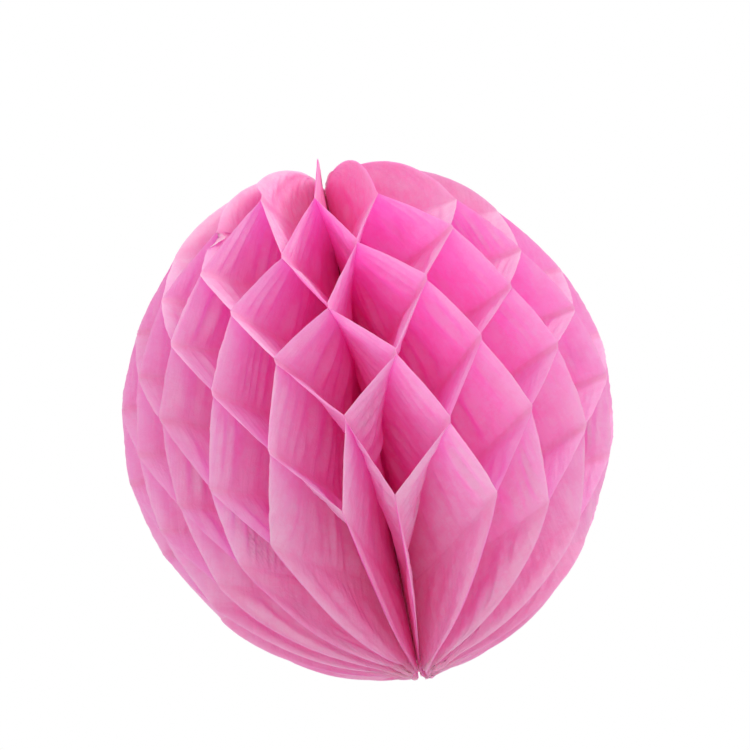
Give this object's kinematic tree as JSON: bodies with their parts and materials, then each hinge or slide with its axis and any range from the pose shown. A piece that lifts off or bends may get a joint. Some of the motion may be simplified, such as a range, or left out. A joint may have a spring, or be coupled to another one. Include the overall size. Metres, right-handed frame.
{
  "type": "paper honeycomb ball",
  "caption": "Open ball of pink tissue leaves bound to a central thread and glued in rows, so that they fan out into diamond cells.",
  "frame": {"origin": "middle of the spine, which is the centre of the ball", "axes": "+Z along the spine from pole to pole, towards the pole that hangs uppermost; the seam where the fan closes lies on -X, and -Y is the side seen from the front"},
  "size_m": [0.1918, 0.1919, 0.2048],
  "materials": {
    "tissue": "matt pink tissue, slightly see-through",
    "thread": "twisted white cotton",
    "binding": "tissue edges soaked in dried glue",
    "tab_paper": "matt paper with adhesive on both faces"
  },
  "bodies": {
    "spine": {"spine_thread": "thread", "spine_binding": "binding", "top_knot": "thread", "bottom_knot": "thread", "closing_tabs": "tab_paper", "tissue_leaf_01": "tissue"},
    "leaf_02": {"tissue_leaf_02": "tissue"},
    "leaf_03": {"tissue_leaf_03": "tissue"},
    "leaf_04": {"tissue_leaf_04": "tissue"},
    "leaf_05": {"tissue_leaf_05": "tissue"},
    "leaf_06": {"tissue_leaf_06": "tissue"},
    "leaf_07": {"tissue_leaf_07": "tissue"},
    "leaf_08": {"tissue_leaf_08": "tissue"},
    "leaf_09": {"tissue_leaf_09": "tissue"},
    "leaf_10": {"tissue_leaf_10": "tissue"},
    "leaf_11": {"tissue_leaf_11": "tissue"},
    "leaf_12": {"tissue_leaf_12": "tissue"},
    "leaf_13": {"tissue_leaf_13": "tissue"},
    "leaf_14": {"tissue_leaf_14": "tissue"},
    "leaf_15": {"tissue_leaf_15": "tissue"},
    "leaf_16": {"tissue_leaf_16": "tissue"},
    "leaf_17": {"tissue_leaf_17": "tissue"},
    "leaf_18": {"tissue_leaf_18": "tissue"},
    "leaf_19": {"tissue_leaf_19": "tissue"},
    "leaf_20": {"tissue_leaf_20": "tissue"},
    "leaf_21": {"tissue_leaf_21": "tissue"},
    "leaf_22": {"tissue_leaf_22": "tissue"},
    "leaf_23": {"tissue_leaf_23": "tissue"},
    "leaf_24": {"tissue_leaf_24": "tissue"},
    "leaf_25": {"tissue_leaf_25": "tissue"},
    "leaf_26": {"tissue_leaf_26": "tissue"},
    "leaf_27": {"tissue_leaf_27": "tissue"},
    "leaf_28": {"tissue_leaf_28": "tissue"},
    "leaf_29": {"tissue_leaf_29": "tissue"},
    "leaf_30": {"tissue_leaf_30": "tissue"},
    "leaf_31": {"tissue_leaf_31": "tissue"},
    "leaf_32": {"tissue_leaf_32": "tissue"},
    "leaf_33": {"tissue_leaf_33": "tissue"},
    "leaf_34": {"tissue_leaf_34": "tissue"},
    "leaf_35": {"tissue_leaf_35": "tissue"},
    "leaf_36": {"tissue_leaf_36": "tissue"}
  },
  "joints": [
    {"name": "fan_fold", "type": "hinge", "parent": "spine", "child": "leaf_36", "pos_m": [0, 0, 0], "axis": [0, 0, 1], "range_deg": [-347, 0], "deforming": ["tissue_leaf_36", "tissue_leaf_01"]},
    {"name": "leaf_02_fold", "type": "hinge", "parent": "spine", "child": "leaf_02", "pos_m": [0, 0, 0], "axis": [0, 0, 1], "range_deg": [-8.17, 0], "deforming": ["tissue_leaf_02"]},
    {"name": "leaf_03_fold", "type": "hinge", "parent": "spine", "child": "leaf_03", "pos_m": [0, 0, 0], "axis": [0, 0, 1], "range_deg": [-16.09, 0], "deforming": ["tissue_leaf_03"]},
    {"name": "leaf_04_fold", "type": "hinge", "parent": "spine", "child": "leaf_04", "pos_m": [0, 0, 0], "axis": [0, 0, 1], "range_deg": [-24.01, 0], "deforming": ["tissue_leaf_04"]},
    {"name": "leaf_05_fold", "type": "hinge", "parent": "spine", "child": "leaf_05", "pos_m": [0, 0, 0], "axis": [0, 0, 1], "range_deg": [-31.93, 0], "deforming": ["tissue_leaf_05"]},
    {"name": "leaf_06_fold", "type": "hinge", "parent": "spine", "child": "leaf_06", "pos_m": [0, 0, 0], "axis": [0, 0, 1], "range_deg": [-39.85, 0], "deforming": ["tissue_leaf_06"]},
    {"name": "leaf_07_fold", "type": "hinge", "parent": "spine", "child": "leaf_07", "pos_m": [0, 0, 0], "axis": [0, 0, 1], "range_deg": [-47.52, 0], "deforming": ["tissue_leaf_07"]},
    {"name": "leaf_08_fold", "type": "hinge", "parent": "spine", "child": "leaf_08", "pos_m": [0, 0, 0], "axis": [0, 0, 1], "range_deg": [-56.18, 0], "deforming": ["tissue_leaf_08"]},
    {"name": "leaf_09_fold", "type": "hinge", "parent": "spine", "child": "leaf_09", "pos_m": [0, 0, 0], "axis": [0, 0, 1], "range_deg": [-66.58, 0], "deforming": ["tissue_leaf_09"]},
    {"name": "leaf_10_fold", "type": "hinge", "parent": "spine", "child": "leaf_10", "pos_m": [0, 0, 0], "axis": [0, 0, 1], "range_deg": [-76.97, 0], "deforming": ["tissue_leaf_10"]},
    {"name": "leaf_11_fold", "type": "hinge", "parent": "spine", "child": "leaf_11", "pos_m": [0, 0, 0], "axis": [0, 0, 1], "range_deg": [-86.62, 0], "deforming": ["tissue_leaf_11"]},
    {"name": "leaf_12_fold", "type": "hinge", "parent": "spine", "child": "leaf_12", "pos_m": [0, 0, 0], "axis": [0, 0, 1], "range_deg": [-97.27, 0], "deforming": ["tissue_leaf_12"]},
    {"name": "leaf_13_fold", "type": "hinge", "parent": "spine", "child": "leaf_13", "pos_m": [0, 0, 0], "axis": [0, 0, 1], "range_deg": [-109.15, 0], "deforming": ["tissue_leaf_13"]},
    {"name": "leaf_14_fold", "type": "hinge", "parent": "spine", "child": "leaf_14", "pos_m": [0, 0, 0], "axis": [0, 0, 1], "range_deg": [-121.03, 0], "deforming": ["tissue_leaf_14"]},
    {"name": "leaf_15_fold", "type": "hinge", "parent": "spine", "child": "leaf_15", "pos_m": [0, 0, 0], "axis": [0, 0, 1], "range_deg": [-131.92, 0], "deforming": ["tissue_leaf_15"]},
    {"name": "leaf_16_fold", "type": "hinge", "parent": "spine", "child": "leaf_16", "pos_m": [0, 0, 0], "axis": [0, 0, 1], "range_deg": [-142.56, 0], "deforming": ["tissue_leaf_16"]},
    {"name": "leaf_17_fold", "type": "hinge", "parent": "spine", "child": "leaf_17", "pos_m": [0, 0, 0], "axis": [0, 0, 1], "range_deg": [-153.45, 0], "deforming": ["tissue_leaf_17"]},
    {"name": "leaf_18_fold", "type": "hinge", "parent": "spine", "child": "leaf_18", "pos_m": [0, 0, 0], "axis": [0, 0, 1], "range_deg": [-163.6, 0], "deforming": ["tissue_leaf_18"]},
    {"name": "leaf_19_fold", "type": "hinge", "parent": "spine", "child": "leaf_19", "pos_m": [0, 0, 0], "axis": [0, 0, 1], "range_deg": [-173.75, 0], "deforming": ["tissue_leaf_19"]},
    {"name": "leaf_20_fold", "type": "hinge", "parent": "spine", "child": "leaf_20", "pos_m": [0, 0, 0], "axis": [0, 0, 1], "range_deg": [-183.89, 0], "deforming": ["tissue_leaf_20"]},
    {"name": "leaf_21_fold", "type": "hinge", "parent": "spine", "child": "leaf_21", "pos_m": [0, 0, 0], "axis": [0, 0, 1], "range_deg": [-194.04, 0], "deforming": ["tissue_leaf_21"]},
    {"name": "leaf_22_fold", "type": "hinge", "parent": "spine", "child": "leaf_22", "pos_m": [0, 0, 0], "axis": [0, 0, 1], "range_deg": [-204.44, 0], "deforming": ["tissue_leaf_22"]},
    {"name": "leaf_23_fold", "type": "hinge", "parent": "spine", "child": "leaf_23", "pos_m": [0, 0, 0], "axis": [0, 0, 1], "range_deg": [-214.58, 0], "deforming": ["tissue_leaf_23"]},
    {"name": "leaf_24_fold", "type": "hinge", "parent": "spine", "child": "leaf_24", "pos_m": [0, 0, 0], "axis": [0, 0, 1], "range_deg": [-224.73, 0], "deforming": ["tissue_leaf_24"]},
    {"name": "leaf_25_fold", "type": "hinge", "parent": "spine", "child": "leaf_25", "pos_m": [0, 0, 0], "axis": [0, 0, 1], "range_deg": [-234.88, 0], "deforming": ["tissue_leaf_25"]},
    {"name": "leaf_26_fold", "type": "hinge", "parent": "spine", "child": "leaf_26", "pos_m": [0, 0, 0], "axis": [0, 0, 1], "range_deg": [-245.03, 0], "deforming": ["tissue_leaf_26"]},
    {"name": "leaf_27_fold", "type": "hinge", "parent": "spine", "child": "leaf_27", "pos_m": [0, 0, 0], "axis": [0, 0, 1], "range_deg": [-255.42, 0], "deforming": ["tissue_leaf_27"]},
    {"name": "leaf_28_fold", "type": "hinge", "parent": "spine", "child": "leaf_28", "pos_m": [0, 0, 0], "axis": [0, 0, 1], "range_deg": [-265.57, 0], "deforming": ["tissue_leaf_28"]},
    {"name": "leaf_29_fold", "type": "hinge", "parent": "spine", "child": "leaf_29", "pos_m": [0, 0, 0], "axis": [0, 0, 1], "range_deg": [-275.71, 0], "deforming": ["tissue_leaf_29"]},
    {"name": "leaf_30_fold", "type": "hinge", "parent": "spine", "child": "leaf_30", "pos_m": [0, 0, 0], "axis": [0, 0, 1], "range_deg": [-285.86, 0], "deforming": ["tissue_leaf_30"]},
    {"name": "leaf_31_fold", "type": "hinge", "parent": "spine", "child": "leaf_31", "pos_m": [0, 0, 0], "axis": [0, 0, 1], "range_deg": [-296.01, 0], "deforming": ["tissue_leaf_31"]},
    {"name": "leaf_32_fold", "type": "hinge", "parent": "spine", "child": "leaf_32", "pos_m": [0, 0, 0], "axis": [0, 0, 1], "range_deg": [-306.4, 0], "deforming": ["tissue_leaf_32"]},
    {"name": "leaf_33_fold", "type": "hinge", "parent": "spine", "child": "leaf_33", "pos_m": [0, 0, 0], "axis": [0, 0, 1], "range_deg": [-316.55, 0], "deforming": ["tissue_leaf_33"]},
    {"name": "leaf_34_fold", "type": "hinge", "parent": "spine", "child": "leaf_34", "pos_m": [0, 0, 0], "axis": [0, 0, 1], "range_deg": [-326.7, 0], "deforming": ["tissue_leaf_34"]},
    {"name": "leaf_35_fold", "type": "hinge", "parent": "spine", "child": "leaf_35", "pos_m": [0, 0, 0], "axis": [0, 0, 1], "range_deg": [-336.85, 0], "deforming": ["tissue_leaf_35"]}
  ],
  "couplings": [
    {"joint": "leaf_02_fold", "follows": "fan_fold", "ratio": 0.023538},
    {"joint": "leaf_03_fold", "follows": "fan_fold", "ratio": 0.046362},
    {"joint": "leaf_04_fold", "follows": "fan_fold", "ratio": 0.069187},
    {"joint": "leaf_05_fold", "follows": "fan_fold", "ratio": 0.092011},
    {"joint": "leaf_06_fold", "follows": "fan_fold", "ratio": 0.11484},
    {"joint": "leaf_07_fold", "follows": "fan_fold", "ratio": 0.13695},
    {"joint": "leaf_08_fold", "follows": "fan_fold", "ratio": 0.16191},
    {"joint": "leaf_09_fold", "follows": "fan_fold", "ratio": 0.19187},
    {"joint": "leaf_10_fold", "follows": "fan_fold", "ratio": 0.22183},
    {"joint": "leaf_11_fold", "follows": "fan_fold", "ratio": 0.24964},
    {"joint": "leaf_12_fold", "follows": "fan_fold", "ratio": 0.28031},
    {"joint": "leaf_13_fold", "follows": "fan_fold", "ratio": 0.31455},
    {"joint": "leaf_14_fold", "follows": "fan_fold", "ratio": 0.34879},
    {"joint": "leaf_15_fold", "follows": "fan_fold", "ratio": 0.38017},
    {"joint": "leaf_16_fold", "follows": "fan_fold", "ratio": 0.41084},
    {"joint": "leaf_17_fold", "follows": "fan_fold", "ratio": 0.44222},
    {"joint": "leaf_18_fold", "follows": "fan_fold", "ratio": 0.47147},
    {"joint": "leaf_19_fold", "follows": "fan_fold", "ratio": 0.50071},
    {"joint": "leaf_20_fold", "follows": "fan_fold", "ratio": 0.52996},
    {"joint": "leaf_21_fold", "follows": "fan_fold", "ratio": 0.5592},
    {"joint": "leaf_22_fold", "follows": "fan_fold", "ratio": 0.58916},
    {"joint": "leaf_23_fold", "follows": "fan_fold", "ratio": 0.6184},
    {"joint": "leaf_24_fold", "follows": "fan_fold", "ratio": 0.64765},
    {"joint": "leaf_25_fold", "follows": "fan_fold", "ratio": 0.67689},
    {"joint": "leaf_26_fold", "follows": "fan_fold", "ratio": 0.70613},
    {"joint": "leaf_27_fold", "follows": "fan_fold", "ratio": 0.73609},
    {"joint": "leaf_28_fold", "follows": "fan_fold", "ratio": 0.76533},
    {"joint": "leaf_29_fold", "follows": "fan_fold", "ratio": 0.79458},
    {"joint": "leaf_30_fold", "follows": "fan_fold", "ratio": 0.82382},
    {"joint": "leaf_31_fold", "follows": "fan_fold", "ratio": 0.85307},
    {"joint": "leaf_32_fold", "follows": "fan_fold", "ratio": 0.88302},
    {"joint": "leaf_33_fold", "follows": "fan_fold", "ratio": 0.91227},
    {"joint": "leaf_34_fold", "follows": "fan_fold", "ratio": 0.94151},
    {"joint": "leaf_35_fold", "follows": "fan_fold", "ratio": 0.97076}
  ]
}
